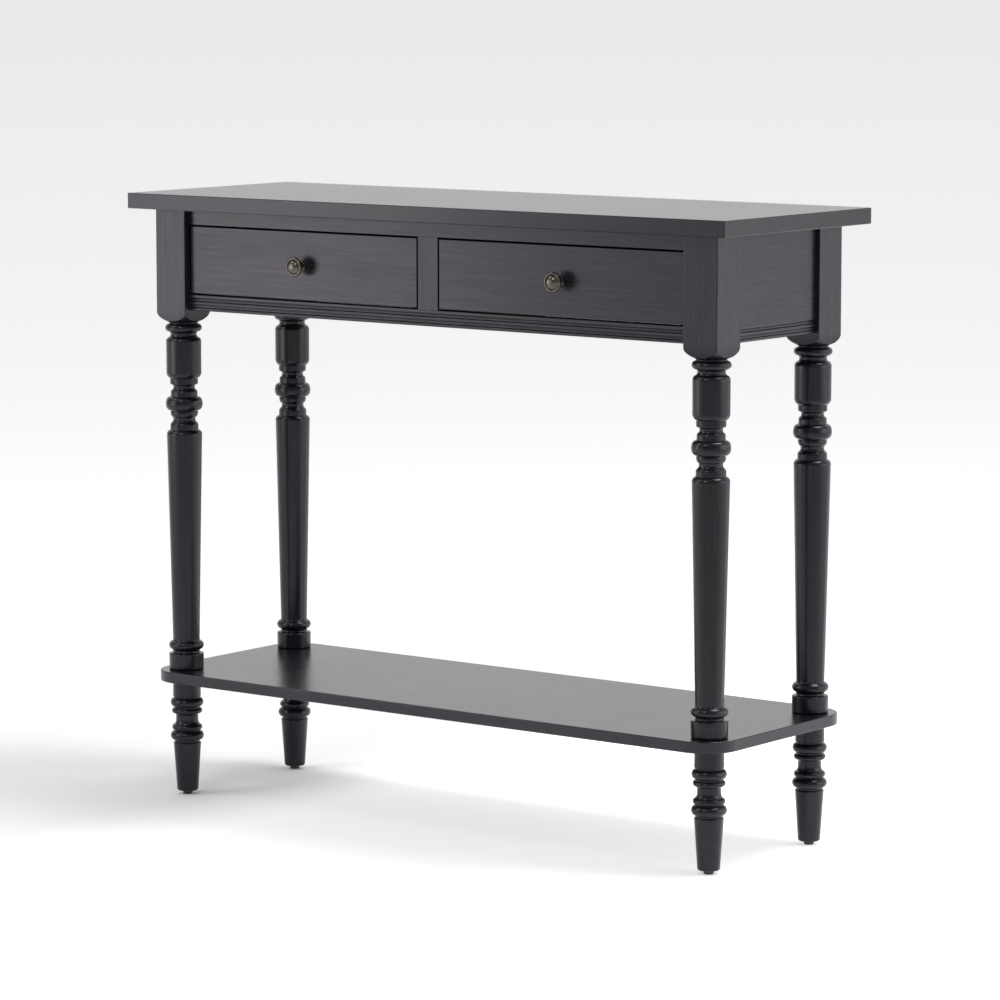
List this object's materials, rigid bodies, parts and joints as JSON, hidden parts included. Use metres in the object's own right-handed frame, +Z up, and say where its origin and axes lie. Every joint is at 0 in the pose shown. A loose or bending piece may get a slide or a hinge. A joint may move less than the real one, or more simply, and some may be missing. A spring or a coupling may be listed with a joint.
{
  "type": "console table",
  "caption": "Black-stained wooden console table with turned legs, side-by-side drawers with small knobs and an open shelf near the floor.",
  "frame": {"origin": "centre of the footprint on the floor, under the middle of the tabletop", "axes": "+X along the width towards the right-hand drawer as seen from the front, +Y from the drawer side to the back, +Z up"},
  "size_m": [0.9148, 0.3126, 0.775],
  "materials": {
    "wood_black": "black stain with fine grain, satin lacquer",
    "wood_plain": "planed, unstained",
    "plywood": "sanded plywood",
    "knob_brass": "antiqued, dark with worn highlights",
    "insert_brass": "plain machined",
    "steel": "zinc plated",
    "glide_plastic": "moulded, matte"
  },
  "bodies": {
    "table": {"tabletop": "wood_black", "lower_shelf": "wood_black", "leg_front_left": "wood_black", "leg_front_right": "wood_black", "leg_back_left": "wood_black", "leg_back_right": "wood_black", "foot_front_left": "wood_black", "foot_front_right": "wood_black", "foot_back_left": "wood_black", "foot_back_right": "wood_black", "front_bottom_rail": "wood_black", "front_top_rail": "wood_black", "centre_stile": "wood_black", "side_apron_left": "wood_black", "side_apron_right": "wood_black", "back_apron": "wood_black", "drawer_guide_left": "wood_black", "drawer_guide_centre": "wood_black", "drawer_guide_right": "wood_black", "drawer_runner_left": "wood_black", "drawer_runner_centre": "wood_black", "drawer_runner_right": "wood_black", "drawer_kicker_left": "wood_black", "drawer_kicker_centre": "wood_black", "drawer_kicker_right": "wood_black", "drawer_stops": "wood_black", "apron_dowels": "wood_plain", "stile_dowels": "wood_plain", "runner_dowels": "wood_plain", "leg_inserts": "insert_brass", "leg_bolts": "steel", "glide_nails": "steel", "guide_screws": "steel", "tabletop_screws": "steel", "glide_pads": "glide_plastic"},
    "drawer_left": {"drawer_left_front": "wood_black", "drawer_left_side_left": "wood_plain", "drawer_left_side_right": "wood_plain", "drawer_left_back": "wood_plain", "drawer_left_dowels": "wood_plain", "drawer_left_bottom": "plywood", "drawer_left_knob": "knob_brass", "drawer_left_knob_screw": "steel"},
    "drawer_right": {"drawer_right_front": "wood_black", "drawer_right_side_left": "wood_plain", "drawer_right_side_right": "wood_plain", "drawer_right_back": "wood_plain", "drawer_right_dowels": "wood_plain", "drawer_right_bottom": "plywood", "drawer_right_knob": "knob_brass", "drawer_right_knob_screw": "steel"}
  },
  "joints": [
    {"name": "drawer_left_slide", "type": "slide", "parent": "table", "child": "drawer_left", "axis": [0, -1, 0], "range_m": [0, 0.15]},
    {"name": "drawer_right_slide", "type": "slide", "parent": "table", "child": "drawer_right", "axis": [0, -1, 0], "range_m": [0, 0.15]}
  ]
}
